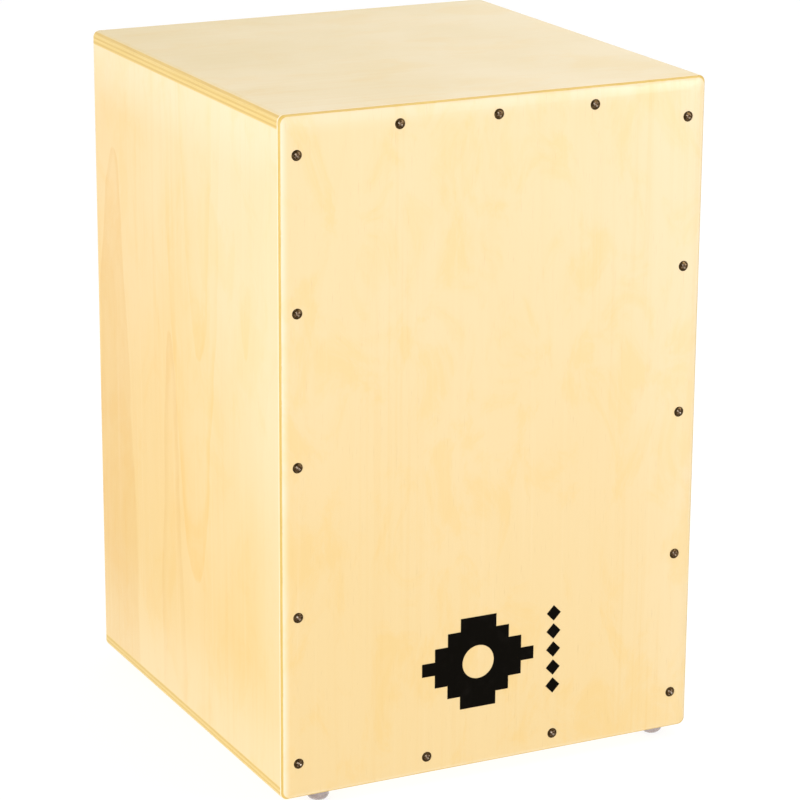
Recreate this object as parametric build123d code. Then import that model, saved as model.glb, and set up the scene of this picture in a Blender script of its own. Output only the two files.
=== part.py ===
from build123d import *
import math
import os

# Cajon: a plywood box drum that the player sits on.
# Millimetres, +Z up. The origin is on the floor, under the middle of the
# bounding box. The striking plate faces -Y, and X runs along its width.

# ---------------------------------------------------------------- dimensions

# Carcass
BODY_WIDTH = 300.0
BODY_DEPTH = 309.0              # front plate included
BODY_HEIGHT = 447.0             # feet not included
PANEL_THICKNESS = 9.0           # sides, top and bottom
FRONT_PLATE_THICKNESS = 3.0
BACK_PANEL_THICKNESS = 4.0
BACK_PANEL_INSET = 2.0          # rear face behind the rims of the carcass
LONG_EDGE_RADIUS = 4.5          # the four edges that run front to back
REAR_RIM_RADIUS = 3.0
PLATE_ROLL_WIDTH = 6.4          # the plate's face is sanded down towards its rim
PLATE_ROLL_DEPTH = 0.62         # where the round of the edge takes over
PLATE_ROLL_STEPS = 5
PLATE_EDGE_STEPS = 5
SOUND_HOLE_DIAMETER = 115.0
SOUND_HOLE_HEIGHT = 268.0       # centre, above the bottom of the body
SOUND_HOLE_EDGE_RADIUS = 1.2

# Framing inside the carcass
BATTEN = 15.0                   # square section
BATTEN_BEVEL = 1.0
CLEAT = 15.0
CLEAT_BEVEL = 6.0

# Rubber feet: stuck on by hand, so the front two sit a little to the right
FOOT_DIAMETER = 15.0
FOOT_HEIGHT = 8.0
FOOT_DOME_RADIUS = 5.0
FOOT_SPOTS = {
    "front_left": (30.6, 12.0),     # from the left side and from the front
    "front_right": (282.5, 16.0),
    "rear_left": (24.0, 289.0),
    "rear_right": (276.0, 289.0),
}

# Front plate screws: raised countersunk heads with a cross recess
HEAD_DIAMETER = 6.9
HEAD_RISE = 0.7
HEAD_RIM = 0.25
SHANK_DIAMETER = 3.5
SCREW_LENGTH = 16.0
SCREW_TIP = 3.0
COUNTERSINK_ANGLE = 90.0
RECESS_WIDTH = 1.15
RECESS_SPAN = 4.2
RECESS_FOOT = 1.38              # span at the bottom of the recess
RECESS_DEPTH = 1.7
FIRST_TURN = 38                 # degrees: each screw stops at its own angle
TURN_STEP = 37
TURN_RANGE = 23
SIDE_SCREW_COUNT = 5
SIDE_SCREW_COLUMNS = {          # drilled by hand, so the two differ a little
    "left": (11.7, 24.2, 25.4),     # from the side, from the bottom and from the top
    "right": (13.0, 25.8, 25.8),
}
END_SCREW_INSET = 12.1
TOP_SCREW_PITCH = 68.6
TOP_SCREW_COUNT = 3
BOTTOM_SCREW_PITCH = 93.2
BOTTOM_SCREW_COUNT = 2

# Snare: wires that lie against the back of the front plate
BAR_THICKNESS = 12.0
BAR_HEIGHT = 25.0
BAR_BOTTOM = 352.0              # above the bottom of the body
BLOCK_WIDTH = 30.0
BLOCK_DEPTH = 20.0
STRAND_DIAMETER = 1.6
STRAND_COUNT = 10
STRAND_PITCH = 4.2
STRAND_LENGTH = 100.0
STRAND_GAP = 0.4                # to the back of the front plate
SNARE_PLATE_THICKNESS = 1.0
SNARE_PLATE_MARGIN = 8.0        # beside the outer strands
SNARE_PLATE_HEIGHT = 14.0
SNARE_PLATE_BOTTOM = 357.0
STRAND_OVERLAP = 10.0           # length soldered to the plate
END_CLIP_HEIGHT = 8.0
END_CLIP_RISE = 2.0             # above the lower ends of the strands
SNARE_OFFSET = 62.0             # middle of a snare from the centre line
PLATE_SCREW_HEAD = 5.0
PLATE_SCREW_HEAD_HEIGHT = 1.3
PLATE_SCREW_HEAD_FLAT = 2.5     # diameter of the flat on top of the pan head
PLATE_SCREW_SHANK = 2.5
PLATE_SCREW_LENGTH = 9.0
BAR_SCREW_HEAD = 8.0
BAR_SCREW_SHANK = 4.0
BAR_SCREW_LENGTH = 28.0

# Painted ornament low on the front plate
EMBLEM_THICKNESS = 0.15
EMBLEM_CENTRE = (140.4, 72.4)   # from the left side and from the bottom
EMBLEM_STEP = (9.3, 9.0)        # width and height of one stair
EMBLEM_LEVELS = 3               # stairs on each side of the widest row
EMBLEM_TOP_WIDTH = 26.0
EMBLEM_HOLE = 23.0
LOZENGE_COUNT = 5
LOZENGE_SIZE = (10.4, 10.8)
LOZENGE_COLUMN = 196.1          # from the left side
LOZENGE_SPAN = (41.0, 102.6)    # lowest and highest tip, from the bottom

CUT_MARGIN = 1.0                # how far a cutting shape runs past a face

# ------------------------------------------------------------- derived places

LEFT = -BODY_WIDTH / 2
RIGHT = BODY_WIDTH / 2
FRONT = -(BODY_DEPTH + HEAD_RISE) / 2 + HEAD_RISE
REAR = FRONT + BODY_DEPTH
BOTTOM = FOOT_HEIGHT
TOP = FOOT_HEIGHT + BODY_HEIGHT

INNER_LEFT = LEFT + PANEL_THICKNESS
INNER_RIGHT = RIGHT - PANEL_THICKNESS
INNER_BOTTOM = BOTTOM + PANEL_THICKNESS
INNER_TOP = TOP - PANEL_THICKNESS
PLATE_BACK = FRONT + FRONT_PLATE_THICKNESS
BACK_PANEL_REAR = REAR - BACK_PANEL_INSET
BACK_PANEL_FRONT = BACK_PANEL_REAR - BACK_PANEL_THICKNESS
BATTEN_BACK = PLATE_BACK + BATTEN
REAR_BATTEN_FRONT = BACK_PANEL_FRONT - BATTEN

STRAND_BACK = PLATE_BACK + STRAND_GAP + STRAND_DIAMETER
BAR_FRONT = STRAND_BACK + SNARE_PLATE_THICKNESS
BAR_BACK = BAR_FRONT + BAR_THICKNESS
SNARE_PLATE_WIDTH = (STRAND_COUNT - 1) * STRAND_PITCH + 2 * SNARE_PLATE_MARGIN

parts = {}


# -------------------------------------------------------------------- helpers

def block(x, y, z):
    """A box between two corners, given as (low, high) on each axis."""
    size = (x[1] - x[0], y[1] - y[0], z[1] - z[0])
    middle = ((x[0] + x[1]) / 2, (y[0] + y[1]) / 2, (z[0] + z[1]) / 2)
    return Pos(*middle) * Box(*size)


def rod(radius, x, y, z):
    """A round bar along Y from y[0] to y[1], with its axis through (x, z)."""
    length = y[1] - y[0]
    return Pos(x, y[0] + length / 2, z) * Rot(90, 0, 0) * Cylinder(radius, length)


def prism_y(face, front, depth):
    """Extrude a face drawn in X and Z from y = front, backwards by depth."""
    plane = Plane(origin=(0, front, 0), x_dir=(1, 0, 0), z_dir=(0, -1, 0))
    return extrude(plane * face, amount=-depth)


def spaced(count, pitch):
    """Evenly spaced offsets, symmetrical about zero."""
    return [(i - (count - 1) / 2) * pitch for i in range(count)]


# -------------------------------------------------------------------- carcass

def outer_shape():
    """The whole rounded box, feet and screws left out."""
    middle = (BOTTOM + TOP) / 2
    outline = Pos(0, middle) * RectangleRounded(BODY_WIDTH, BODY_HEIGHT, LONG_EDGE_RADIUS)
    shape = prism_y(outline, FRONT, BODY_DEPTH)
    rear = shape.faces().sort_by(Axis.Y)[-1]
    return fillet(rear.edges(), REAR_RIM_RADIUS)


def plate_rim():
    """The plate's rim as (inset from the outline, depth from the face), from the face to the back.

    The face falls away in a parabola, and a circle that is tangent to it turns into the edge.
    """
    slope = math.atan(2 * PLATE_ROLL_DEPTH / PLATE_ROLL_WIDTH)
    radius = (FRONT_PLATE_THICKNESS - PLATE_ROLL_DEPTH) / math.cos(slope)
    turn_inset = radius * (1 - math.sin(slope))
    rim = []
    for i in range(PLATE_ROLL_STEPS):
        share = i / PLATE_ROLL_STEPS
        inset = turn_inset + PLATE_ROLL_WIDTH * (1 - share)
        rim.append((inset, PLATE_ROLL_DEPTH * share**2))
    for i in range(PLATE_EDGE_STEPS + 1):
        angle = slope + (math.pi / 2 - slope) * i / PLATE_EDGE_STEPS
        depth = FRONT_PLATE_THICKNESS - radius * math.cos(angle)
        rim.append((radius * (1 - math.sin(angle)), depth))
    return rim


def rolled_plate():
    """The front plate without its screw holes."""
    middle = (BOTTOM + TOP) / 2
    sections = []
    for inset, depth in plate_rim():
        plane = Plane(origin=(0, FRONT + depth, middle), x_dir=(1, 0, 0), z_dir=(0, -1, 0))
        width, height = BODY_WIDTH - 2 * inset, BODY_HEIGHT - 2 * inset
        sections.append(plane * RectangleRounded(width, height, LONG_EDGE_RADIUS))
    return loft(sections)


def plate_screw_spots():
    """Screw centres (x, z) on the front plate, listed for each edge of the plate."""
    spots = {}
    for side, (inset, low, high) in SIDE_SCREW_COLUMNS.items():
        x = LEFT + inset if side == "left" else RIGHT - inset
        pitch = (BODY_HEIGHT - low - high) / (SIDE_SCREW_COUNT - 1)
        spots[side] = [(x, BOTTOM + low + i * pitch) for i in range(SIDE_SCREW_COUNT)]
    top, bottom = TOP - END_SCREW_INSET, BOTTOM + END_SCREW_INSET
    spots["top"] = [(x, top) for x in spaced(TOP_SCREW_COUNT, TOP_SCREW_PITCH)]
    spots["bottom"] = [(x, bottom) for x in spaced(BOTTOM_SCREW_COUNT, BOTTOM_SCREW_PITCH)]
    return spots


def head_depth():
    """How far the countersunk head reaches into the plate."""
    slope = math.tan(math.radians(COUNTERSINK_ANGLE / 2))
    return HEAD_RIM + (HEAD_DIAMETER - SHANK_DIAMETER) / 2 / slope


def screw_body(reach):
    """A screw pointing along +Y from the plate's face, without its raised top."""
    radius = HEAD_DIAMETER / 2
    shank = SHANK_DIAMETER / 2
    tip = SCREW_TIP if reach == SCREW_LENGTH else 0
    with BuildSketch(Plane.XY) as half:
        with BuildLine():
            Polyline(
                (0, 0),
                (radius, 0),
                (radius, HEAD_RIM),
                (shank, head_depth()),
                (shank, reach - tip),
                (0, reach),
                close=True,
            )
        make_face()
    return revolve(half.sketch, Axis.Y)


def screw_dome():
    """The low dome that stands proud of the plate, towards -Y."""
    radius = HEAD_DIAMETER / 2
    sphere = (radius**2 + HEAD_RISE**2) / (2 * HEAD_RISE)
    halfway = math.sqrt(sphere**2 - (radius / 2) ** 2) - (sphere - HEAD_RISE)
    with BuildSketch(Plane.XY) as half:
        with BuildLine():
            Line((0, 0), (radius, 0))
            ThreePointArc(
                (radius, 0),
                (radius / 2, -halfway),
                (0, -HEAD_RISE),
            )
            Line((0, -HEAD_RISE), (0, 0))
        make_face()
    return revolve(half.sketch, Axis.Y)


def cross_recess():
    """A tapered cross recess, sunk from the top of the dome."""
    top = -HEAD_RISE - CUT_MARGIN
    bottom = RECESS_DEPTH - HEAD_RISE
    cutter = None
    for turn in (0, 90):
        with BuildSketch(Plane.XY) as arm:
            with BuildLine():
                Polyline(
                    (-RECESS_SPAN / 2, top),
                    (RECESS_SPAN / 2, top),
                    (RECESS_SPAN / 2, -HEAD_RISE),
                    (RECESS_FOOT / 2, bottom),
                    (-RECESS_FOOT / 2, bottom),
                    (-RECESS_SPAN / 2, -HEAD_RISE),
                    close=True,
                )
            make_face()
        wing = extrude(arm.sketch, amount=RECESS_WIDTH / 2, both=True)
        wing = Rot(0, turn, 0) * wing
        cutter = wing if cutter is None else cutter + wing
    return cutter


def carcass_panels():
    """The four panels of the carcass, cut from one rounded box, and the front plate."""
    shape = outer_shape()
    y = (PLATE_BACK, REAR)
    wide = (LEFT, RIGHT)
    upright = (INNER_BOTTOM, INNER_TOP)
    parts["top_panel"] = shape & block(wide, y, (INNER_TOP, TOP))
    parts["bottom_panel"] = shape & block(wide, y, (BOTTOM, INNER_BOTTOM))
    parts["side_panel_left"] = shape & block((LEFT, INNER_LEFT), y, upright)
    parts["side_panel_right"] = shape & block((INNER_RIGHT, RIGHT), y, upright)

    plate = rolled_plate()
    hole = screw_body(FRONT_PLATE_THICKNESS + CUT_MARGIN)
    for spots in plate_screw_spots().values():
        for x, z in spots:
            plate -= Pos(x, FRONT, z) * hole
    parts["front_plate"] = plate


def back_panel():
    """Thin panel between the rims, with the round sound hole."""
    y = (BACK_PANEL_FRONT, BACK_PANEL_REAR)
    panel = block((INNER_LEFT, INNER_RIGHT), y, (INNER_BOTTOM, INNER_TOP))
    through = (y[0] - CUT_MARGIN, y[1] + CUT_MARGIN)
    panel -= rod(SOUND_HOLE_DIAMETER / 2, 0, through, BOTTOM + SOUND_HOLE_HEIGHT)
    rims = panel.edges().filter_by(GeomType.CIRCLE)
    parts["back_panel"] = fillet(rims, SOUND_HOLE_EDGE_RADIUS)


# -------------------------------------------------------------------- framing

def inner_edges(shape, axis):
    """The edges of a batten along an axis that face the middle of the box."""
    middle = Vector(0, (PLATE_BACK + BACK_PANEL_FRONT) / 2, (INNER_BOTTOM + INNER_TOP) / 2)
    edges = shape.edges().filter_by(axis)
    return edges.sort_by(lambda edge: (edge.center() - middle).length)[0]


def battens():
    """Two frames of square battens, behind the front plate and before the back panel."""
    rows = {"front": (PLATE_BACK, BATTEN_BACK), "rear": (REAR_BATTEN_FRONT, BACK_PANEL_FRONT)}
    upright = (INNER_BOTTOM, INNER_TOP)
    across = (INNER_LEFT + BATTEN, INNER_RIGHT - BATTEN)
    places = {
        "left": ((INNER_LEFT, INNER_LEFT + BATTEN), upright, Axis.Z),
        "right": ((INNER_RIGHT - BATTEN, INNER_RIGHT), upright, Axis.Z),
        "top": (across, (INNER_TOP - BATTEN, INNER_TOP), Axis.X),
        "bottom": (across, (INNER_BOTTOM, INNER_BOTTOM + BATTEN), Axis.X),
    }
    for row, y in rows.items():
        for place, (x, z, axis) in places.items():
            bar = block(x, y, z)
            bar = chamfer(inner_edges(bar, axis), BATTEN_BEVEL)
            parts[f"{row}_batten_{place}"] = bar

    pilot = screw_body(SCREW_LENGTH)
    for edge, spots in plate_screw_spots().items():
        for x, z in spots:
            parts[f"front_batten_{edge}"] -= Pos(x, FRONT, z) * pilot


def corner_cleats():
    """Glue strips in the four long corners, between the two batten frames."""
    y = (BATTEN_BACK, REAR_BATTEN_FRONT)
    for side, x in {"left": INNER_LEFT, "right": INNER_RIGHT}.items():
        for level, z in {"top": INNER_TOP, "bottom": INNER_BOTTOM}.items():
            x_in = x + math.copysign(CLEAT, -x)
            z_in = z - CLEAT if level == "top" else z + CLEAT
            strip = block(sorted((x, x_in)), y, sorted((z, z_in)))
            strip = chamfer(inner_edges(strip, Axis.Y), CLEAT_BEVEL)
            parts[f"corner_cleat_{level}_{side}"] = strip


# ---------------------------------------------------------------------- snare

def countersunk_screw(head, shank, length):
    """A flat countersunk wood screw, pointing along +Y from its head."""
    slope = (head - shank) / 2
    with BuildSketch(Plane.XY) as half:
        with BuildLine():
            Polyline(
                (0, 0),
                (head / 2, 0),
                (shank / 2, slope),
                (shank / 2, length - shank),
                (0, length),
                close=True,
            )
        make_face()
    return revolve(half.sketch, Axis.Y)


def snare_bar():
    """The cross bar, its two end blocks and the screws that join them."""
    z = (BOTTOM + BAR_BOTTOM, BOTTOM + BAR_BOTTOM + BAR_HEIGHT)
    bar = block((INNER_LEFT + BATTEN, INNER_RIGHT - BATTEN), (BAR_FRONT, BAR_BACK), z)
    screw = countersunk_screw(BAR_SCREW_HEAD, BAR_SCREW_SHANK, BAR_SCREW_LENGTH)
    screws = []
    for side, x in {"left": INNER_LEFT, "right": INNER_RIGHT}.items():
        x_in = x + math.copysign(BLOCK_WIDTH, -x)
        foot = block(sorted((x, x_in)), (BAR_BACK, BAR_BACK + BLOCK_DEPTH), z)
        x_screw = x + math.copysign((BATTEN + BLOCK_WIDTH) / 2, -x)
        placed = Pos(x_screw, BAR_FRONT, (z[0] + z[1]) / 2) * screw
        bar -= placed
        foot -= placed
        screws.append(placed)
        parts[f"snare_block_{side}"] = foot
    parts["snare_bar"] = bar
    parts["snare_bar_screws"] = Compound(children=screws)


def plate_screw():
    """A small pan head screw, pointing along +Y, its head in front of y = 0."""
    head = PLATE_SCREW_HEAD / 2
    flat = PLATE_SCREW_HEAD_FLAT / 2
    shank = PLATE_SCREW_SHANK / 2
    corner = math.sqrt(0.5)
    with BuildSketch(Plane.XY) as half:
        with BuildLine():
            Line((0, -PLATE_SCREW_HEAD_HEIGHT), (flat, -PLATE_SCREW_HEAD_HEIGHT))
            ThreePointArc(
                (flat, -PLATE_SCREW_HEAD_HEIGHT),
                (flat + (head - flat) * corner, -PLATE_SCREW_HEAD_HEIGHT * corner),
                (head, 0),
            )
            Polyline(
                (head, 0),
                (shank, 0),
                (shank, PLATE_SCREW_LENGTH - shank),
                (0, PLATE_SCREW_LENGTH),
                (0, -PLATE_SCREW_HEAD_HEIGHT),
            )
        make_face()
    return revolve(half.sketch, Axis.Y)


def snares():
    """Two sets of wires, each with a fixing plate, an end clip and two screws."""
    screw = plate_screw()
    screws = []
    plate_z = (BOTTOM + SNARE_PLATE_BOTTOM, BOTTOM + SNARE_PLATE_BOTTOM + SNARE_PLATE_HEIGHT)
    strand_top = plate_z[0] + STRAND_OVERLAP
    strand_bottom = strand_top - STRAND_LENGTH
    y = (STRAND_BACK, BAR_FRONT)
    for side, middle in {"left": -SNARE_OFFSET, "right": SNARE_OFFSET}.items():
        half = SNARE_PLATE_WIDTH / 2
        plate = block((middle - half, middle + half), y, plate_z)
        for x in (middle - half + SNARE_PLATE_MARGIN / 2, middle + half - SNARE_PLATE_MARGIN / 2):
            placed = Pos(x, STRAND_BACK, (plate_z[0] + plate_z[1]) / 2) * screw
            plate -= placed
            parts["snare_bar"] -= placed
            screws.append(placed)
        parts[f"snare_plate_{side}"] = plate

        strand_y = STRAND_BACK - STRAND_DIAMETER / 2
        wire = Cylinder(STRAND_DIAMETER / 2, STRAND_LENGTH)
        height = (strand_bottom + strand_top) / 2
        wires = [Pos(middle + dx, strand_y, height) * wire for dx in spaced(STRAND_COUNT, STRAND_PITCH)]
        parts[f"snare_wires_{side}"] = Compound(children=wires)

        reach = (STRAND_COUNT - 1) * STRAND_PITCH / 2 + STRAND_DIAMETER
        clip_bottom = strand_bottom + END_CLIP_RISE
        clip_z = (clip_bottom, clip_bottom + END_CLIP_HEIGHT)
        parts[f"snare_end_clip_{side}"] = block((middle - reach, middle + reach), y, clip_z)
    parts["snare_plate_screws"] = Compound(children=screws)


# ------------------------------------------------------------ outside fittings

def plate_screws():
    """All the screws of the front plate, each turned by its own amount."""
    screw = screw_body(SCREW_LENGTH) + screw_dome() - cross_recess()
    screws = []
    spots = [spot for row in plate_screw_spots().values() for spot in row]
    for i, (x, z) in enumerate(spots):
        turn = FIRST_TURN + (i * TURN_STEP) % TURN_RANGE
        screws.append(Pos(x, FRONT, z) * Rot(0, turn, 0) * screw)
    parts["front_plate_screws"] = Compound(children=screws)


def feet():
    """Four soft domed bumpers under the bottom panel."""
    radius = FOOT_DIAMETER / 2
    flat = radius - FOOT_DOME_RADIUS
    corner = math.sqrt(0.5) * FOOT_DOME_RADIUS
    with BuildSketch(Plane.XZ) as half:
        with BuildLine():
            Polyline((0, 0), (0, FOOT_HEIGHT), (radius, FOOT_HEIGHT), (radius, FOOT_DOME_RADIUS))
            ThreePointArc(
                (radius, FOOT_DOME_RADIUS),
                (flat + corner, FOOT_DOME_RADIUS - corner),
                (flat, 0),
            )
            Line((flat, 0), (0, 0))
        make_face()
    foot = revolve(half.sketch, Axis.Z)
    for place, (x, y) in FOOT_SPOTS.items():
        parts[f"foot_{place}"] = Pos(LEFT + x, FRONT + y, 0) * foot


def emblem():
    """A stepped lozenge with a round eye, and a column of small lozenges beside it."""
    x = LEFT + EMBLEM_CENTRE[0]
    z = BOTTOM + EMBLEM_CENTRE[1]
    ornament = None
    for level in range(-EMBLEM_LEVELS, EMBLEM_LEVELS + 1):
        stairs = EMBLEM_LEVELS - abs(level)
        width = EMBLEM_TOP_WIDTH + 2 * stairs * EMBLEM_STEP[0]
        row = Pos(x, z + level * EMBLEM_STEP[1]) * Rectangle(width, EMBLEM_STEP[1])
        ornament = row if ornament is None else ornament + row
    ornament -= Pos(x, z) * Circle(EMBLEM_HOLE / 2)
    pieces = [prism_y(ornament, FRONT - EMBLEM_THICKNESS, EMBLEM_THICKNESS)]

    half_width, half_height = LOZENGE_SIZE[0] / 2, LOZENGE_SIZE[1] / 2
    diamond = Polygon(
        (0, -half_height),
        (half_width, 0),
        (0, half_height),
        (-half_width, 0),
        align=None,
    )
    low = BOTTOM + LOZENGE_SPAN[0] + half_height
    high = BOTTOM + LOZENGE_SPAN[1] - half_height
    for i in range(LOZENGE_COUNT):
        height = low + (high - low) * i / (LOZENGE_COUNT - 1)
        placed = Pos(LEFT + LOZENGE_COLUMN, height) * diamond
        pieces.append(prism_y(placed, FRONT - EMBLEM_THICKNESS, EMBLEM_THICKNESS))
    parts["front_emblem"] = Compound(children=pieces)


# --------------------------------------------------------------------- export

carcass_panels()
back_panel()
battens()
corner_cleats()
snare_bar()
snares()
plate_screws()
feet()
emblem()

os.makedirs("parts", exist_ok=True)
for node, shape in parts.items():
    export_step(shape, f"parts/{node}.step")
print(len(parts), "sub-parts written")
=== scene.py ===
import math

import bmesh
import bpy
import numpy as np
from mathutils import Matrix, Vector


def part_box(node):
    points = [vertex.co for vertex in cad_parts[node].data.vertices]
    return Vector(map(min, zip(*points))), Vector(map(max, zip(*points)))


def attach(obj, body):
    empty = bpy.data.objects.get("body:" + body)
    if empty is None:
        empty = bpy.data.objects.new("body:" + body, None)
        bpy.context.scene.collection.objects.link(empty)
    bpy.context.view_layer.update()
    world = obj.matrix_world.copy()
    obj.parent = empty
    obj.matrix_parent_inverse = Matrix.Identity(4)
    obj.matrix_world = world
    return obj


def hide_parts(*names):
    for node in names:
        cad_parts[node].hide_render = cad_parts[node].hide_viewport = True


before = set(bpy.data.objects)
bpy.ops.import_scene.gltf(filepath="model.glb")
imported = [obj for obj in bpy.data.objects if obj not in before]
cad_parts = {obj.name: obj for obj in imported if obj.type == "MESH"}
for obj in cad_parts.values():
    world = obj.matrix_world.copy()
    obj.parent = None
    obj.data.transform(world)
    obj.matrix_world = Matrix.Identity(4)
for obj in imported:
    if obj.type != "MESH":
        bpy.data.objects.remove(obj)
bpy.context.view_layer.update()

# Cajon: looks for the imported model. Metres, in the frame of the CAD model:
# the striking plate faces -Y, X runs along its width and Z is up.

MM = 0.001

# ------------------------------------------------------------------ palette
# Linear colours.

# Veneers: the pale and warm tones of the sheet, its darkest part, and the rim tone, a paler colour
# painted along the edges as a highlight.
FRONT_BIRCH = {
    "pale": (0.885, 0.705, 0.420),
    "warm": (0.885, 0.690, 0.385),
    "deep": (0.865, 0.640, 0.305),
    "rim": (0.960, 0.870, 0.680),
}
SIDE_BIRCH = {
    "pale": (0.890, 0.695, 0.410),
    "warm": (0.885, 0.670, 0.360),
    "deep": (0.825, 0.570, 0.205),
    "rim": (0.920, 0.760, 0.490),
}
TOP_BIRCH = {
    "pale": (0.825, 0.670, 0.388),
    "warm": (0.800, 0.635, 0.342),
    "deep": (0.750, 0.587, 0.282),
    "rim": (0.840, 0.712, 0.455),
}
# What the figure multiplies those tones by.
TINTS = {
    "amber": (1.000, 0.940, 0.760),
    "heart": (0.955, 0.885, 0.740),
    "streak": (0.985, 0.930, 0.800),
}
GRAIN_BROWN = (0.560, 0.330, 0.120)
GRAIN_LIGHT = (0.930, 0.760, 0.490)
PLY_LIGHT = (0.800, 0.565, 0.160)
PLY_PALE = (0.830, 0.605, 0.205)
PLY_DARK = (0.755, 0.515, 0.130)
PLY_BROWN = (0.700, 0.455, 0.100)
PLY_GLUE = (0.520, 0.330, 0.100)
PINE_LIGHT = (0.700, 0.500, 0.270)
PINE_DARK = (0.500, 0.300, 0.130)
PINE_HEART = (0.620, 0.360, 0.150)
BRONZE_DARK = (0.045, 0.026, 0.010)
BRONZE_WORN = (0.130, 0.082, 0.036)
RECESS_SHADE = (0.480, 0.380, 0.290)
RECESS_STEEL = (0.930, 0.850, 0.740)
ZINC_DARK = (0.45, 0.43, 0.38)
ZINC_LIGHT = (0.62, 0.60, 0.55)
WIRE_DARK = (0.50, 0.49, 0.47)
WIRE_LIGHT = (0.70, 0.69, 0.66)
INK_BLACK = (0.0026, 0.0018, 0.0007)
INK_WORN = (0.0060, 0.0046, 0.0032)
RUBBER_GREY = (0.400, 0.330, 0.335)
RUBBER_LIGHT = (0.560, 0.490, 0.495)
RUBBER_DUST = (0.240, 0.190, 0.180)
FLOOR_GREY = (0.20, 0.20, 0.20)
WHITE = (1.0, 1.0, 1.0)

# ------------------------------------------------------------------- sizes

FLAME_REACH = 0.100           # where the width of an arch of the figure is given
BLUR_MM = 0.10                # softness of the line between two plies

# Cut edges: (centre, period) of the darker plies in mm from the face, and how far the
# inner face's own colour shows, in mm.
SEVEN_PLIES = ((1.5, 3.0), 0.15)
THREE_PLIES = ((1.5, 2.6), 0.85)
THIN_PLIES = ((2.0, 4.0), 0.40)

# Screws of the striking plate
HEAD_RADIUS = 3.42 * MM
SHANK_RADIUS = 1.75 * MM
COUNTERSINK_DEPTH = 2.1 * MM
THREAD_PITCH = 1.5 * MM
THREAD_CREST = 0.55 * MM      # how far a ring drops from the shank's surface
THREAD_GAP = 1.0 * MM         # between the cone and the first ring
TIP_LENGTH = 3.2 * MM
RECESS_SPAN = 4.3 * MM
RECESS_WIDTH = 1.15 * MM
RECESS_FOOT = 1.3 * MM        # span at the bottom of the recess
RECESS_DEPTH = 1.15 * MM      # below the face of the plate
HEAD_SIDES = 48
FIRST_TURN = 38               # degrees: each screw stops at its own angle
TURN_STEP = 37
TURN_RANGE = 23

# Snare coils
STRANDS = 10
WIRE_RADIUS = 0.24 * MM
COIL_PITCH = 0.98 * MM
COIL_STEPS = 10               # points along one turn
WIRE_SIDES = 5


# ------------------------------------------------------------ shader helpers

class Graph:
    """A material being built: one Principled shader and the nodes that feed it."""

    def __init__(self, name):
        self.material = bpy.data.materials.new(name)
        self.material.use_nodes = True
        self.tree = self.material.node_tree
        self.tree.nodes.clear()
        output = self.tree.nodes.new("ShaderNodeOutputMaterial")
        self.shader = self.tree.nodes.new("ShaderNodeBsdfPrincipled")
        self.tree.links.new(self.shader.outputs["BSDF"], output.inputs["Surface"])
        place = self.tree.nodes.new("ShaderNodeTexCoord")
        split = self.tree.nodes.new("ShaderNodeSeparateXYZ")
        self.tree.links.new(place.outputs["Object"], split.inputs[0])
        self.axes = {axis: split.outputs[axis] for axis in "XYZ"}

    def feed(self, socket, value):
        """Link a socket to another, or set its own value."""
        if isinstance(value, bpy.types.NodeSocket):
            self.tree.links.new(value, socket)
        elif isinstance(value, tuple) and len(value) == 3 and socket.type == "RGBA":
            socket.default_value = (*value, 1)
        else:
            socket.default_value = value

    def set(self, **values):
        """Set sockets of the Principled shader, with _ for the spaces in their names."""
        for name, value in values.items():
            self.feed(self.shader.inputs[name.replace("_", " ")], value)

    def math(self, operation, a, b=0.0, c=0.0):
        node = self.tree.nodes.new("ShaderNodeMath")
        node.operation = operation
        for socket, value in zip(node.inputs, (a, b, c)):
            self.feed(socket, value)
        return node.outputs[0]

    def vector(self, x, y, z):
        node = self.tree.nodes.new("ShaderNodeCombineXYZ")
        for socket, value in zip(node.inputs, (x, y, z)):
            self.feed(socket, value)
        return node.outputs[0]

    def stretch(self, u, v, w, scale):
        """A coordinate with its own scale on each axis, in cycles per metre."""
        parts = [self.math("MULTIPLY", axis, factor) for axis, factor in zip((u, v, w), scale)]
        return self.vector(*parts)

    def noise(self, vector, detail=2.0, roughness=0.5, distortion=0.0):
        node = self.tree.nodes.new("ShaderNodeTexNoise")
        self.feed(node.inputs["Vector"], vector)
        node.inputs["Scale"].default_value = 1.0
        node.inputs["Detail"].default_value = detail
        node.inputs["Roughness"].default_value = roughness
        node.inputs["Distortion"].default_value = distortion
        return node.outputs["Fac"]

    def fade(self, value, low, high, start=0.0, end=1.0):
        """Smoothly from start at low to end at high."""
        node = self.tree.nodes.new("ShaderNodeMapRange")
        node.interpolation_type = "SMOOTHSTEP"
        for socket, number in zip(node.inputs, (value, low, high, start, end)):
            self.feed(socket, number)
        return node.outputs[0]

    def mix(self, factor, a, b, blend="MIX"):
        node = self.tree.nodes.new("ShaderNodeMix")
        node.data_type = "RGBA"
        node.blend_type = blend
        self.feed(node.inputs[0], factor)
        self.feed(node.inputs[6], a)
        self.feed(node.inputs[7], b)
        return node.outputs[2]

    def bump(self, height, distance, strength=1.0, normal=None):
        """Surface relief: height from 0 to 1 stands for distance in metres."""
        node = self.tree.nodes.new("ShaderNodeBump")
        node.inputs["Strength"].default_value = strength
        node.inputs["Distance"].default_value = distance
        self.feed(node.inputs["Height"], height)
        if normal is not None:
            self.feed(node.inputs["Normal"], normal)
        return node.outputs[0]


# ---------------------------------------------------------------- materials

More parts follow.
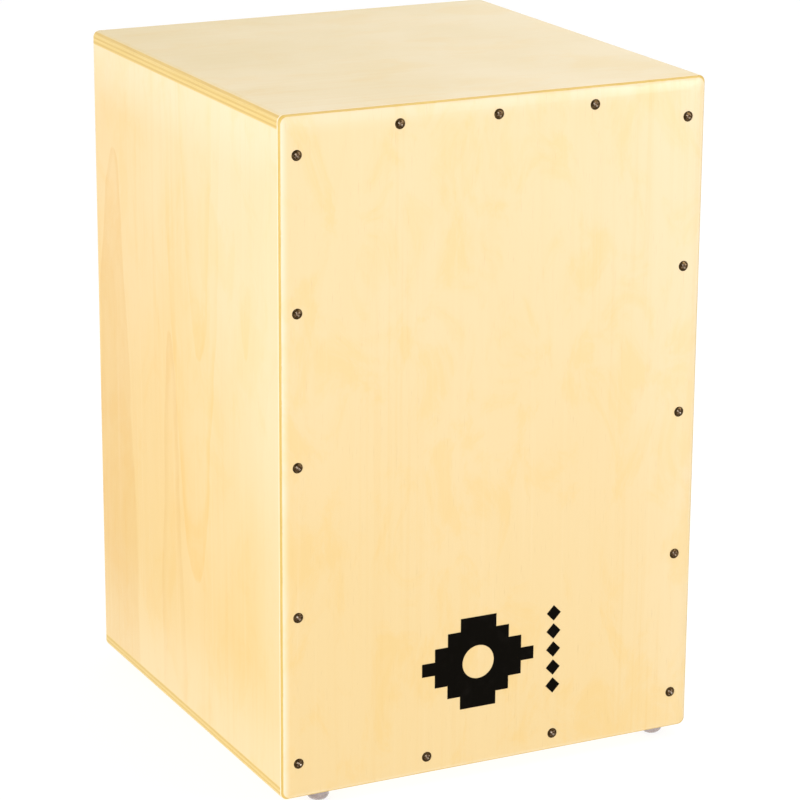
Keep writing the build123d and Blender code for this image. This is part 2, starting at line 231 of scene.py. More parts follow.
def cathedral(g, u, v, seed, heart, swing, width, period):
    """Growth rings as a peeled sheet shows them: arches about a heart line, straight between.

    All in metres: heart is a point on an arch's tip, swing is how high the arches reach,
    width is the distance between two hearts of the same kind, and period is the height
    between the tips of two rings. Returns 0 at a ring's dark line, rising to 1 above it.
    """
    bend = g.noise(g.stretch(u, v, seed, (4.0, 5.0, 1.0)), detail=2.0)
    from_heart = g.math("SUBTRACT", u, heart[0] + 0.05 * width)
    shifted = g.math("MULTIPLY_ADD", bend, 0.10 * width, from_heart)
    wave = g.math("COSINE", g.math("MULTIPLY", shifted, 2 * math.pi / width))
    rise = g.math("MULTIPLY", g.math("SUBTRACT", 1.0, wave), swing / 2)
    height = g.math("SUBTRACT", g.math("SUBTRACT", v, heart[1]), rise)
    ripple = g.noise(g.stretch(u, v, seed, (70.0, 12.0, 1.0)), detail=2.0)
    rings = g.math("MULTIPLY_ADD", height, 1 / period, g.math("MULTIPLY", ripple, 0.12))
    return g.math("FRACT", g.math("SUBTRACT", rings, 0.06))


def drift_share(g, u, v, pale_spot, deep_spot):
    """From 0 at one spot of the sheet to 1 at another, for a tone that drifts between them."""
    run = (deep_spot[0] - pale_spot[0], deep_spot[1] - pale_spot[1])
    reach = run[0] ** 2 + run[1] ** 2
    along = g.math("ADD",
        g.math("MULTIPLY", g.math("SUBTRACT", u, pale_spot[0]), run[0] / reach),
        g.math("MULTIPLY", g.math("SUBTRACT", v, pale_spot[1]), run[1] / reach))
    waver = g.noise(g.stretch(u, v, 0.0, (9.0, 5.0, 1.0)), detail=3.0)
    return g.math("MULTIPLY_ADD", g.math("SUBTRACT", waver, 0.5), 0.7, along)


def painted_highlight_share(g, u, v, margins):
    """Up to 1 along the edges of the sheet, where a paler tone is painted on as a highlight.

    Each margin is (0 for u or 1 for v, place of the edge, way into the sheet, width, strength).
    """
    most = 0.0
    for axis, place, inward, width, strength in margins:
        reach = g.math("MULTIPLY", g.math("SUBTRACT", (u, v)[axis], place), inward)
        share = g.fade(reach, 0.0, width, strength, 0.0)
        most = g.math("MAXIMUM", share, most)
    return most


def flame_share(g, u, v, seed, tip, way, half_width, at_tip, at_edge, inside):
    """One nested arch of the figure: how much of its tint shows at a point of the sheet.

    The arch opens up the sheet where way is 1 and down it where way is -1, and is half_width
    wide to each side at FLAME_REACH from its tip. at_tip, at_edge and inside are the strengths
    of the tint just within the tip, along the arms and all over the inside.
    """
    bend = g.noise(g.stretch(u, v, seed, (10.0, 12.0, 1.0)), detail=3.0)
    shift = g.math("MULTIPLY_ADD", g.math("SUBTRACT", bend, 0.5), 0.018, tip[0])
    away = g.math("ABSOLUTE", g.math("SUBTRACT", u, shift))
    along = g.math("MULTIPLY", g.math("SUBTRACT", v, tip[1]), way)
    reach = g.math("POWER", g.math("DIVIDE", g.math("MAXIMUM", along, 0.0), FLAME_REACH), 0.45)
    within = g.math("SUBTRACT", g.math("MULTIPLY", reach, half_width), away)
    rim = g.fade(within, -0.0008, 0.0006)
    arms = g.math("MULTIPLY", rim, g.fade(within, 0.0015, 0.0110, at_edge, 0.0))
    arms = g.math("MULTIPLY", arms, g.fade(along, 0.10, 0.30, 1.0, 0.35))
    filled = g.fade(within, -0.0008, 0.0020)
    body = g.math("MULTIPLY", filled, g.fade(along, 0.0, 0.070, at_tip, inside))
    ground = g.math("MAXIMUM", arms, body)
    return g.math("MULTIPLY", ground, g.fade(along, -0.0010, 0.0030))


def veneer_colour(g, u, v, seed, tones, arch, line, glow, amber, drift, margins, flames=()):
    """Lacquered birch: clouds, arches, amber figure, fibres and pores, with painted highlights along
    the edges.

    arch is what cathedral needs, line and glow are how strong the dark line of a ring and the
    tint above it are, amber is the strength of the mottled figure, and drift is the sheet's
    palest and deepest spot; that drift is painted shade on the side panels and partly painted
    shade on the striking plate. The edge bands are where a paler tone is painted on as a
    highlight. flames are the single arches that stand out.
    """
    clouds = g.noise(g.stretch(u, v, seed, (7.0, 3.0, 1.0)), detail=3.0)
    colour = g.mix(g.fade(clouds, 0.32, 0.68), tones["pale"], tones["warm"])
    # From the pale to the deep tone across the sheet: painted shade on the side panels, partly
    # painted shade on the striking plate, the sheet's own tone elsewhere.
    colour = g.mix(g.fade(drift_share(g, u, v, *drift), 0.0, 1.0), colour, tones["deep"])
    # Painted highlight: the rim tone laid in bands along the sheet's edges.
    colour = g.mix(painted_highlight_share(g, u, v, margins), colour, tones["rim"])

    mottle = g.stretch(u, v, seed, (30.0, 16.0, 1.0))
    figure = g.noise(mottle, detail=6.0, roughness=0.66, distortion=0.7)
    colour = g.mix(g.fade(figure, 0.47, 0.64, 0.0, amber), colour, TINTS["amber"], "MULTIPLY")
    for number, (tint, *flame) in enumerate(flames):
        share = flame_share(g, u, v, seed + number, *flame)
        worn = g.fade(figure, 0.30, 0.60, 0.65, 1.0)
        colour = g.mix(g.math("MULTIPLY", share, worn), colour, TINTS[tint], "MULTIPLY")

    ring = cathedral(g, u, v, seed, *arch)
    breaks = g.noise(g.stretch(u, v, seed, (9.0, 3.5, 1.0)), detail=2.0)
    present = g.fade(breaks, 0.40, 0.60, 0.15, 1.0)
    tint = g.math("MULTIPLY", g.fade(ring, 0.0, 0.30, glow, 0.0), present)
    colour = g.mix(tint, colour, TINTS["amber"], "MULTIPLY")
    above = g.fade(ring, 0.0, 0.07, 1.0, 0.0)
    below = g.fade(ring, 0.985, 1.0)
    edge = g.math("MULTIPLY", g.math("MULTIPLY", g.math("MAXIMUM", above, below), present), line)
    colour = g.mix(edge, colour, GRAIN_BROWN)

    streaks = g.noise(g.stretch(u, v, seed, (230.0, 3.5, 1.0)), detail=4.0, roughness=0.65)
    banks = g.noise(g.stretch(u, v, seed, (11.0, 2.0, 1.0)), detail=2.0)
    strong = g.math("MULTIPLY", g.fade(streaks, 0.48, 0.70), g.fade(banks, 0.42, 0.62, 0.10, 0.55))
    colour = g.mix(strong, colour, TINTS["streak"], "MULTIPLY")
    colour = g.mix(g.fade(streaks, 0.25, 0.45, 0.12, 0.0), colour, GRAIN_LIGHT)

    pores = g.noise(g.stretch(u, v, seed, (1500.0, 70.0, 1.0)), detail=2.0, roughness=0.6)
    colour = g.mix(g.fade(pores, 0.62, 0.80, 0.0, 0.18), colour, GRAIN_BROWN)
    return colour, streaks, pores


def ply_edge_colour(g, u, v, depth_mm, centre, period, seed):
    """Stacked plies on a cut edge: lighter long-grain plies and darker end-grain ones."""
    wander = g.noise(g.stretch(u, v, seed, (14.0, 14.0, 1.0)), detail=2.0)
    depth = g.math("MULTIPLY_ADD", g.math("SUBTRACT", wander, 0.5), 0.5, depth_mm)
    phase = g.math("MULTIPLY", g.math("SUBTRACT", depth, centre), 2 * math.pi / period)
    wave = g.math("COSINE", phase)
    flecks = g.noise(g.vector(
        g.math("MULTIPLY", u, 420.0),
        g.math("MULTIPLY", v, 420.0),
        g.math("MULTIPLY", depth, 2.2),
    ), detail=3.0, roughness=0.65)
    tone = g.noise(g.stretch(u, v, depth, (30.0, 30.0, 1.7)), detail=3.0, roughness=0.6)
    light = g.mix(g.fade(tone, 0.38, 0.62), PLY_LIGHT, PLY_PALE)
    dark = g.mix(g.fade(tone, 0.38, 0.62), PLY_DARK, PLY_BROWN)
    dark = g.mix(g.fade(depth_mm, 3.0, 9.0, 0.0, 0.7), dark, PLY_BROWN)
    colour = g.mix(g.fade(wave, 0.00, 0.60), light, dark)
    colour = g.mix(g.fade(flecks, 0.50, 0.72, 0.0, 0.30), colour, PLY_GLUE)
    glue = g.math("ABSOLUTE", g.math("SUBTRACT", wave, 0.15))
    return g.mix(g.fade(glue, 0.0, 0.25, 0.22, 0.0), colour, PLY_GLUE)


def plywood(name, axes, face, inward, thickness, cores, skin_mm, seed, **look):
    """Lacquered birch plywood.

    axes names the axis across the grain, along it, and through the sheet. face is the outer
    face's place on the last, and inward is 1 or -1, the way from it into the wood. cores is
    (centre, period) of the darker plies, in mm from the face, and skin_mm is how far the
    inner face's own colour shows on a cut edge.
    """
    g = Graph(name)
    u, v, w = (g.axes[axis] for axis in axes)
    depth_mm = g.math("MULTIPLY", g.math("SUBTRACT", w, face), inward / MM)
    colour, streaks, pores = veneer_colour(g, u, v, seed, **look)
    edge = ply_edge_colour(g, u, v, depth_mm, *cores, seed)
    veneer = cores[0] - cores[1] / 4
    skin = thickness / MM - skin_mm
    outside = g.fade(depth_mm, veneer - BLUR_MM, veneer + BLUR_MM)
    inside = g.fade(depth_mm, skin - BLUR_MM, skin + BLUR_MM, 1.0, 0.0)
    colour = g.mix(g.math("MULTIPLY", outside, inside), colour, edge)

    smudges = g.noise(g.stretch(u, v, seed, (17.0, 11.0, 1.0)), detail=4.0, roughness=0.6)
    grain_relief = g.bump(streaks, 0.03 * MM, 0.5)
    g.set(Base_Color=colour, Roughness=g.fade(smudges, 0.3, 0.7, 0.36, 0.46))
    g.set(Normal=g.bump(pores, 0.02 * MM, 0.5, grain_relief))
    g.set(IOR=1.48, Coat_Weight=0.08, Coat_Roughness=0.18, Coat_IOR=1.5)
    return g.material


def solid_wood(name, length_axis, heart, seed):
    """Planed, unfinished softwood: growth rings about a heart that lies outside the batten."""
    g = Graph(name)
    cross = [axis for axis in "XYZ" if axis != length_axis]
    p, q, s = g.axes[cross[0]], g.axes[cross[1]], g.axes[length_axis]
    wave = g.noise(g.stretch(p, q, s, (14.0, 14.0, 2.5)), detail=2.0)
    dp = g.math("SUBTRACT", p, heart[0])
    dq = g.math("SUBTRACT", q, heart[1])
    radius = g.math("SQRT", g.math("ADD", g.math("MULTIPLY", dp, dp), g.math("MULTIPLY", dq, dq)))
    rings = g.math("MULTIPLY_ADD", radius, 430.0, g.math("MULTIPLY", wave, 2.2))
    late = g.fade(g.math("FRACT", g.math("ADD", rings, seed)), 0.45, 0.95)
    fibres = g.noise(g.stretch(p, q, s, (900.0, 900.0, 22.0)), detail=3.0, roughness=0.6)
    colour = g.mix(g.math("MULTIPLY", late, 0.65), PINE_LIGHT, PINE_DARK)
    colour = g.mix(g.fade(fibres, 0.5, 0.8, 0.0, 0.35), colour, PINE_DARK)
    clouds = g.noise(g.stretch(p, q, s, (9.0, 9.0, 5.0)), detail=3.0)
    colour = g.mix(g.fade(clouds, 0.35, 0.75, 0.0, 0.30), colour, PINE_HEART)
    g.set(Base_Color=colour, Roughness=g.fade(fibres, 0.3, 0.7, 0.55, 0.75), IOR=1.45)
    g.set(Normal=g.bump(fibres, 0.06 * MM, 0.8))
    return g.material


def metal(name, dark, light, roughness, scale, relief):
    """Plated or blackened metal, with wear in patches and fine scratches."""
    g = Graph(name)
    x, y, z = g.axes["X"], g.axes["Y"], g.axes["Z"]
    patches = g.noise(g.stretch(x, y, z, (scale, scale, scale)), detail=4.0, roughness=0.6)
    fine = g.noise(g.stretch(x, y, z, (scale * 7, scale * 7, scale * 7)), detail=3.0)
    colour = g.mix(g.fade(patches, 0.42, 0.68), dark, light)
    g.set(Base_Color=colour, Metallic=1.0)
    g.set(Roughness=g.fade(fine, 0.3, 0.7, roughness - 0.07, roughness + 0.09))
    g.set(Normal=g.bump(fine, relief, 0.6))
    return g.material


def rubber(name):
    """Grey moulded bumper, half see-through and glossy."""
    g = Graph(name)
    x, y, z = g.axes["X"], g.axes["Y"], g.axes["Z"]
    cloud = g.noise(g.stretch(x, y, z, (160.0, 160.0, 160.0)), detail=3.0)
    dust = g.noise(g.stretch(x, y, z, (1900.0, 1900.0, 1900.0)), detail=2.0)
    colour = g.mix(g.fade(cloud, 0.3, 0.7), RUBBER_GREY, RUBBER_LIGHT)
    colour = g.mix(g.fade(dust, 0.62, 0.78, 0.0, 0.3), colour, RUBBER_DUST)
    g.set(Base_Color=colour, Roughness=g.fade(dust, 0.3, 0.7, 0.06, 0.14))
    g.set(Transmission_Weight=0.45, IOR=1.49, Coat_Weight=0.8, Coat_Roughness=0.04)
    g.set(Normal=g.bump(cloud, 0.03 * MM, 0.5))
    return g.material


def ink(name):
    """Black print with slight wear, and relief from the grain under it."""
    g = Graph(name)
    x, z = g.axes["X"], g.axes["Z"]
    fibres = g.noise(g.stretch(x, z, 0.0, (800.0, 25.0, 1.0)), detail=3.0)
    wear = g.noise(g.stretch(x, z, 0.0, (90.0, 60.0, 1.0)), detail=4.0, roughness=0.65)
    colour = g.mix(g.fade(wear, 0.5, 0.75), INK_BLACK, INK_WORN)
    g.set(Base_Color=colour, Roughness=g.fade(fibres, 0.3, 0.7, 0.46, 0.60))
    g.set(Specular_IOR_Level=0.03, Normal=g.bump(fibres, 0.03 * MM, 0.6))
    return g.material


def paint(node, material):
    """Give a CAD node's object one material on all its faces."""
    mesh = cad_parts[node].data
    mesh.materials.clear()
    mesh.materials.append(material)


# ------------------------------------------------------------ mesh helpers

def new_piece(name, mesh, body="root"):
    piece = bpy.data.objects.new(name, mesh)
    bpy.context.scene.collection.objects.link(piece)
    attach(piece, body)
    return piece


def middle(node):
    low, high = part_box(node)
    return (Vector(low) + Vector(high)) / 2


# -------------------------------------------------------------------- stage

def camera():
    """At the viewing angle of a catalogue picture: from the left, a little above."""
    azimuth, elevation, roll = math.radians(-26.408), math.radians(16.910), math.radians(0.339)
    distance, slide_right, slide_up = 2.2358, 0.0081, -0.0160
    plate_low, plate_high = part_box("front_plate")
    _, seat_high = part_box("top_panel")
    target = Vector((0, (plate_low[1] + seat_high[1]) / 2, (plate_low[2] + plate_high[2]) / 2))
    back = Vector((
        math.sin(azimuth) * math.cos(elevation),
        -math.cos(azimuth) * math.cos(elevation),
        math.sin(elevation),
    ))
    level = Vector((0, 0, 1)).cross(back).normalized()
    rise = back.cross(level)
    right = level * math.cos(roll) + rise * math.sin(roll)
    up = rise * math.cos(roll) - level * math.sin(roll)
    data = bpy.data.cameras.new("camera")
    data.sensor_width = 36.0
    data.lens = 148.0
    data.clip_start = 0.05
    data.clip_end = 50
    cam = bpy.data.objects.new("camera", data)
    bpy.context.scene.collection.objects.link(cam)
    axes = Matrix((right, up, back)).transposed().to_4x4()
    place = target + back * distance + right * slide_right + up * slide_up
    cam.matrix_world = Matrix.Translation(place) @ axes
    bpy.context.scene.camera = cam


def area_light(name, place, aim, size, power):
    data = bpy.data.lights.new(name, "AREA")
    data.shape = "RECTANGLE"
    data.size, data.size_y = size
    data.energy = power
    light = bpy.data.objects.new(name, data)
    bpy.context.scene.collection.objects.link(light)
    light.location = place
    light.rotation_euler = (Vector(aim) - Vector(place)).to_track_quat("-Z", "Y").to_euler()


def floor():
    """A floor that glows white like a light table, so the shadow on it stays faint."""
    half = 12.0
    mesh = bpy.data.meshes.new("floor")
    corners = [(-half, -half, 0), (half, -half, 0), (half, half, 0), (-half, half, 0)]
    mesh.from_pydata(corners, [], [(0, 1, 2, 3)])
    sheet = bpy.data.objects.new("floor", mesh)
    bpy.context.scene.collection.objects.link(sheet)
    g = Graph("floor_white")
    g.set(Base_Color=FLOOR_GREY, Roughness=0.9, Specular_IOR_Level=0.1)
    g.set(Emission_Color=WHITE, Emission_Strength=0.86)
    mesh.materials.append(g.material)


def sky():
    """Even light all round and a bright wall behind the object. The camera sees plain white."""
    even, wall, seen = 0.45, 1.3, 1.1
    world = bpy.data.worlds.new("studio")
    world.use_nodes = True
    tree = world.node_tree
    direction = tree.nodes.new("ShaderNodeTexCoord").outputs["Generated"]
    split = tree.nodes.new("ShaderNodeSeparateXYZ")
    tree.links.new(direction, split.inputs[0])
    ramp = tree.nodes.new("ShaderNodeMapRange")
    ramp.interpolation_type = "SMOOTHSTEP"
    ramp.inputs["From Min"].default_value = 0.3
    ramp.inputs["From Max"].default_value = 0.8
    ramp.inputs["To Min"].default_value = even
    ramp.inputs["To Max"].default_value = wall
    tree.links.new(split.outputs["Y"], ramp.inputs["Value"])
    backdrop = tree.nodes.new("ShaderNodeMix")
    backdrop.inputs[3].default_value = seen
    is_seen = tree.nodes.new("ShaderNodeLightPath").outputs["Is Camera Ray"]
    tree.links.new(is_seen, backdrop.inputs[0])
    tree.links.new(ramp.outputs[0], backdrop.inputs[2])
    tree.links.new(backdrop.outputs[0], tree.nodes["Background"].inputs["Strength"])
    tree.nodes["Background"].inputs["Color"].default_value = (*WHITE, 1)
    bpy.context.scene.world = world


def lights():
    """Softboxes at the left, at the front right and overhead."""
    aim = (0, 0, 0.23)
    area_light("key", (-2.1, -1.0, 0.6), aim, (1.0, 1.0), 22.5)
    area_light("fill", (1.25, -1.85, 0.5), aim, (0.5, 0.5), 11)
    area_light("overhead", (0.5, -0.3, 2.0), aim, (1.2, 1.2), 13)
    bpy.context.scene.view_settings.view_transform = "Standard"


# ------------------------------------------------------------------- panels

def panels():
    """The six sheets of plywood, each with its own figure. The last number on the first line
    of a sheet is its seed."""
    top_low, top_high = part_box("top_panel")
    bottom_low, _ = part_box("bottom_panel")
    left_low, left_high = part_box("side_panel_left")
    _, right_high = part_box("side_panel_right")
    plate_low, plate_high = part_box("front_plate")
    back_low, back_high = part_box("back_panel")
    board = top_high[2] - top_low[2]
    plate = plate_high[1] - plate_low[1]
    thin = back_high[1] - back_low[1]
    left, right = plate_low[0], plate_high[0]
    base, top = plate_low[2], plate_high[2]
    front, rear = plate_low[1], top_high[1]
    joint = left_high[2]

    # Painted highlights on the striking plate: paler bands along its edges, and a broad paler band
    # towards its right side.
    plate_margins = [
        (0, left, 1, 0.0065, 0.80),
        (0, right, -1, 0.005, 0.45),
        (0, right, -1, 0.070, 0.17),
        (1, top, -1, 0.015, 0.33),
        (1, base, 1, 0.004, 0.35),
    ]
    # Painted light on the side panels: paler bands along the top, along the bottom and along the
    # front edge.
    side_margins = [
        (1, joint, -1, 0.045, 0.70),
        (1, left_low[2], 1, 0.085, 0.45),
        (0, front, 1, 0.050, 0.20),
    ]
    # Each is a tint, then what flame_share needs from its tip on.
    side_flames = [
        ("amber", (-0.017, 0.112), 1, 0.028, 1.00, 1.00, 0.20),
        ("amber", (-0.023, 0.267), 1, 0.021, 1.00, 0.55, 0.05),
        ("amber", (-0.102, 0.287), 1, 0.014, 0.70, 0.10, 0.00),
        ("heart", (0.124, 0.381), -1, 0.0220, 0.35, 0.90, 0.80),
        ("heart", (0.024, 0.276), -1, 0.014, 0.25, 0.75, 0.08),
    ]
    # Painted shade on the side panels: the pale tone at the top front turns to the deep tone low at
    # the back.
    side_shade_drift = ((front, top), (rear - 0.065, base + 0.092))
    # Painted highlights: the seat is paler towards its front and right edges, and the back panel is
    # paler along its top.
    seat_margins = [(0, front, 1, 0.060, 0.20), (1, right, -1, 0.080, 0.30)]
    back_margins = [(1, joint, -1, 0.012, 0.30)]
    paint("side_panel_left", plywood(
        "birch_side_left", "YZX", left_low[0], 1, board, *SEVEN_PLIES, 14.2,
        tones=SIDE_BIRCH, arch=((-0.017, 0.114), 0.95, 0.27, 0.153), line=0.03, glow=0.08, amber=0.45,
        drift=side_shade_drift, margins=side_margins, flames=side_flames))
    paint("side_panel_right", plywood(
        "birch_side_right", "YZX", right_high[0], -1, board, *SEVEN_PLIES, 21.9,
        tones=SIDE_BIRCH, arch=((0.035, 0.160), 0.80, 0.24, 0.120), line=0.08, glow=0.50, amber=0.45,
        drift=side_shade_drift, margins=side_margins))
    paint("top_panel", plywood(
        "birch_top", "YXZ", top_high[2], -1, board, *SEVEN_PLIES, 3.1,
        tones=TOP_BIRCH, arch=((0.05, 0.4), 1.6, 0.35, 0.20), line=0.01, glow=0.05, amber=0.50,
        drift=((front + 0.05, right - 0.05), (rear, left)), margins=seat_margins))
    # The bottom panel gets a painted highlight: a paler band along its front edge.
    paint("bottom_panel", plywood(
        "birch_bottom", "YXZ", bottom_low[2], 1, board, *SEVEN_PLIES, 8.7,
        tones=SIDE_BIRCH, arch=((-0.03, 0.1), 1.2, 0.25, 0.15), line=0.10, glow=0.45, amber=0.45,
        drift=((front, left), (rear, right)), margins=[(0, front, 1, 0.010, 0.20)]))
    # The striking plate deepens towards its lower left: partly painted shade, partly the wood's own
    # amber tone.
    paint("front_plate", plywood(
        "birch_front", "XZY", plate_low[1], 1, plate, *THREE_PLIES, 5.3,
        tones=FRONT_BIRCH, arch=((0.10, 0.236), 0.70, 0.25, 0.26), line=0.01, glow=0.08, amber=0.65,
        drift=((right / 2, top), (left / 4, base + 0.03)), margins=plate_margins))
    paint("back_panel", plywood(
        "birch_back", "XZY", back_high[1], -1, thin, *THIN_PLIES, 33.3,
        tones=SIDE_BIRCH, arch=((0.04, 0.20), 1.0, 0.28, 0.14), line=0.10, glow=0.50, amber=0.45,
        drift=((right, top), (left, base)), margins=back_margins))


def framing():
    """Battens, cleats and the snare's bar and blocks, each cut from its own place in a log."""
    runs = {
        "Z": ["front_batten_left", "front_batten_right", "rear_batten_left", "rear_batten_right"],
        "X": ["front_batten_top", "front_batten_bottom", "rear_batten_top", "rear_batten_bottom",
              "snare_bar", "snare_block_left", "snare_block_right"],
        "Y": ["corner_cleat_top_left", "corner_cleat_top_right",
              "corner_cleat_bottom_left", "corner_cleat_bottom_right"],
    }
    for length_axis, nodes in runs.items():
        cross = ["XYZ".index(axis) for axis in "XYZ" if axis != length_axis]
        for number, node in enumerate(nodes):
            centre = middle(node)
            heart = (centre[cross[0]] + 0.021 + 0.004 * number, centre[cross[1]] - 0.034)
            paint(node, solid_wood(f"wood_{node}", length_axis, heart, 0.37 * number))


# -------------------------------------------------------------------- snare

def coil(place, top, bottom, radius):
    """Vertices and faces of one vertical coil spring with its axis at place (x, y)."""
    sides = WIRE_SIDES
    turns = (top - bottom) / COIL_PITCH
    count = int(turns * COIL_STEPS) + 1
    t = np.linspace(0.0, 1.0, count)
    angle = t * turns * 2 * math.pi
    rise = COIL_PITCH / (2 * math.pi * radius)
    tilt = math.atan(rise)
    out = np.stack([np.cos(angle), np.sin(angle), np.zeros(count)], axis=1)
    ahead = np.stack([-np.sin(angle) * math.sin(tilt), np.cos(angle) * math.sin(tilt),
                      np.full(count, -math.cos(tilt))], axis=1)
    centre = out * radius + np.array([place[0], place[1], 0.0])
    centre[:, 2] = bottom + t * (top - bottom)
    rows = []
    for k in range(sides):
        phi = 2 * math.pi * k / sides
        rows.append(centre + WIRE_RADIUS * (math.cos(phi) * out + math.sin(phi) * ahead))
    points = np.stack(rows, axis=1).reshape(-1, 3)
    faces = []
    for i in range(count - 1):
        for k in range(sides):
            a = i * sides + k
            b = i * sides + (k + 1) % sides
            faces.append((a, b, b + sides, a + sides))
    faces.append(tuple(range(sides - 1, -1, -1)))
    faces.append(tuple(range((count - 1) * sides, count * sides)))
    return points, faces


def snare_wires(side, steel):
    """Ten coiled wires in place of the plain rods of one snare."""
    node = f"snare_wires_{side}"
    low, high = (Vector(corner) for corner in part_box(node))
    outer = (high.y - low.y) / 2
    points, faces = [], []
    for number in range(STRANDS):
        share = number / (STRANDS - 1)
        x = low.x + outer + share * (high.x - low.x - 2 * outer)
        place = (x, (low.y + high.y) / 2)
        top, bottom = high.z - WIRE_RADIUS, low.z + WIRE_RADIUS
        more, quads = coil(place, top, bottom, outer - WIRE_RADIUS)
        offset = sum(len(p) for p in points)
        points.append(more)
        faces.extend(tuple(i + offset for i in quad) for quad in quads)
    mesh = bpy.data.meshes.new(f"coils_{side}")
    mesh.from_pydata(np.concatenate(points).tolist(), [], faces)
    mesh.shade_smooth()
    mesh.materials.append(steel)
    piece = new_piece(f"snare_coils_{side}", mesh)
    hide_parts(node)


# ------------------------------------------------------------------- screws

def lathe(profile, steps):
    """A closed solid of revolution about Y; profile is (radius, y) from pole to pole."""
    bm = bmesh.new()
    rings = []
    for radius, y in profile:
        if radius < 1e-7:
            rings.append([bm.verts.new((0, y, 0))])
            continue
        ring = []
        for k in range(steps):
            angle = 2 * math.pi * k / steps
            ring.append(bm.verts.new((radius * math.cos(angle), y, radius * math.sin(angle))))
        rings.append(ring)
    for first, second in zip(rings, rings[1:]):
        for k in range(steps):
            a, b = first[k % len(first)], first[(k + 1) % len(first)]
            c, d = second[(k + 1) % len(second)], second[k % len(second)]
            corners = list(dict.fromkeys((a, b, c, d)))
            bm.faces.new(corners)
    bmesh.ops.recalc_face_normals(bm, faces=bm.faces)
    return bm


def screw_profile(rise, length):
    """Domed head, countersunk cone, ringed shank and tip, as (radius, y)."""
    radius, shank = HEAD_RADIUS, SHANK_RADIUS
    points = [(0.0, -rise)]
    for k in range(1, 9):
        t = k / 9
        points.append((radius * t, -rise * math.sqrt(max(0.0, 1 - t ** 2.3))))
    points += [(radius, -0.08 * MM), (radius, 0.02 * MM)]
    points += [(radius * 0.985, 0.25 * MM), (shank, COUNTERSINK_DEPTH)]
    groove = shank - THREAD_CREST
    y = COUNTERSINK_DEPTH + THREAD_GAP
    while y < length - TIP_LENGTH:
        points += [(shank, y), (groove, y + THREAD_PITCH * 0.25), (groove, y + THREAD_PITCH * 0.75)]
        y += THREAD_PITCH
    points += [(shank, y), (shank * 0.5, length - 1.2 * MM), (0.0, length)]
    return points


def wedge(top, bottom):
    """One arm pair of the cross recess: a bar that tapers towards its foot."""
    bm = bmesh.new()
    rows = (
        (top, RECESS_SPAN / 2, RECESS_WIDTH / 2),
        (bottom, RECESS_FOOT / 2, RECESS_WIDTH * 0.36),
    )
    signs = ((-1, -1), (1, -1), (1, 1), (-1, 1))
    upper, lower = [[bm.verts.new((sx * a, y, sz * b)) for sx, sz in signs] for y, a, b in rows]
    bm.faces.new(upper)
    bm.faces.new(lower[::-1])
    for k in range(4):
        bm.faces.new((upper[k], lower[k], lower[(k + 1) % 4], upper[(k + 1) % 4]))
    bmesh.ops.recalc_face_normals(bm, faces=bm.faces)
    return bm


def scratch_object(name, bm, materials):
    """An object for a modifier to work on, removed once it has."""
    mesh = bpy.data.meshes.new(name)
    bm.to_mesh(mesh)
    bm.free()
    for material in materials:
        mesh.materials.append(material)
    thing = bpy.data.objects.new(name, mesh)
    bpy.context.scene.collection.objects.link(thing)
    return thing


def screw_mesh(bronze, recess):
    """One plate screw at the origin, pointing along +Y, with its cross recess cut in."""
    low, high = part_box("front_plate_screws")
    plate_low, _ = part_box("front_plate")
    rise = plate_low[1] - low[1]
    length = high[1] - plate_low[1]
    profile = screw_profile(rise, length)
    screw = scratch_object("screw_blank", lathe(profile, HEAD_SIDES), [bronze, recess])
    cutters = []
    for turn in (0, 90):
        bm = wedge(-rise - 0.2 * MM, RECESS_DEPTH)
        bmesh.ops.rotate(bm, verts=bm.verts, matrix=Matrix.Rotation(math.radians(turn), 3, "Y"))
        cutter = scratch_object("cutter", bm, [recess])
        for polygon in cutter.data.polygons:
            polygon.material_index = 0
        cutters.append(cutter)
        cut = screw.modifiers.new("cut", "BOOLEAN")
        cut.operation = "DIFFERENCE"
        cut.solver = "EXACT"
        cut.material_mode = "TRANSFER"
        cut.object = cutter
    round_off = screw.modifiers.new("round", "BEVEL")
    round_off.width = 0.07 * MM
    round_off.segments = 2
    round_off.limit_method = "ANGLE"
    round_off.angle_limit = math.radians(40)
    depsgraph = bpy.context.evaluated_depsgraph_get()
    mesh = bpy.data.meshes.new_from_object(screw.evaluated_get(depsgraph))
    for thing in (screw, *cutters):
        bpy.data.objects.remove(thing)
    return mesh


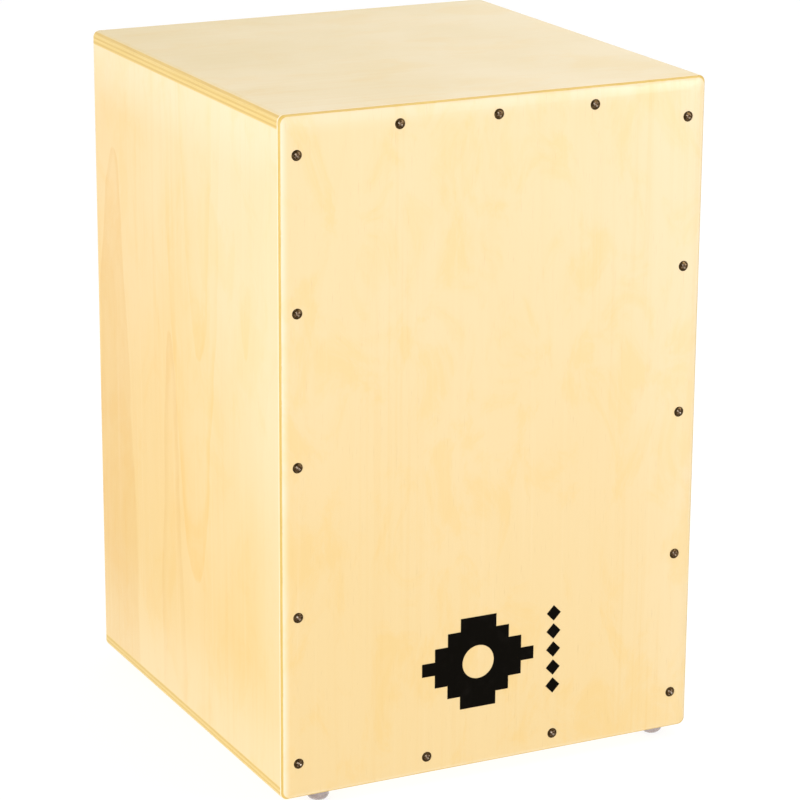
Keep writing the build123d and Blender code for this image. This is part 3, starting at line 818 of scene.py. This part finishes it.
def screw_places(node, spread):
    """The middle (x, z) of each screw of a node, which are all further apart than spread."""
    groups = []
    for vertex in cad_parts[node].data.vertices:
        x, _, z = vertex.co
        for group in groups:
            if abs(x - group[0][0]) < spread and abs(z - group[0][1]) < spread:
                group.append((x, z))
                break
        else:
            groups.append([(x, z)])
    places = []
    for group in groups:
        across, up = zip(*group)
        places.append(((min(across) + max(across)) / 2, (min(up) + max(up)) / 2))
    return places


def plate_screws(bronze, recess):
    """The fifteen screws of the striking plate, each turned by its own amount."""
    blank = screw_mesh(bronze, recess)
    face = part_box("front_plate")[0][1]
    bm = bmesh.new()
    for number, (x, z) in enumerate(screw_places("front_plate_screws", 20 * MM)):
        turn = math.radians(FIRST_TURN + (number * TURN_STEP) % TURN_RANGE)
        placed = blank.copy()
        placed.transform(Matrix.Translation((x, face, z)) @ Matrix.Rotation(turn, 4, "Y"))
        bm.from_mesh(placed)
        bpy.data.meshes.remove(placed)
    mesh = bpy.data.meshes.new("plate_screws")
    bm.to_mesh(mesh)
    bm.free()
    mesh.materials.append(bronze)
    mesh.materials.append(recess)
    piece = new_piece("plate_screws", mesh)
    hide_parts("front_plate_screws")


# --------------------------------------------------------------------- main

camera()
floor()
sky()
lights()
panels()
framing()

bronze = metal("antique_bronze", BRONZE_DARK, BRONZE_WORN, 0.34, 420.0, 0.02 * MM)
recess_steel = metal("worn_recess", RECESS_SHADE, RECESS_STEEL, 0.30, 900.0, 0.02 * MM)
zinc = metal("zinc_plate", ZINC_DARK, ZINC_LIGHT, 0.32, 260.0, 0.01 * MM)
wire_steel = metal("wire_steel", WIRE_DARK, WIRE_LIGHT, 0.25, 300.0, 0.005 * MM)
bumper = rubber("bumper_grey")

plate_screws(bronze, recess_steel)
for side in ("left", "right"):
    snare_wires(side, wire_steel)
    paint(f"snare_plate_{side}", zinc)
    paint(f"snare_end_clip_{side}", zinc)
paint("snare_bar_screws", zinc)
paint("snare_plate_screws", zinc)
paint("front_emblem", ink("black_print"))
for end in ("front", "rear"):
    for side in ("left", "right"):
        paint(f"foot_{end}_{side}", bumper)
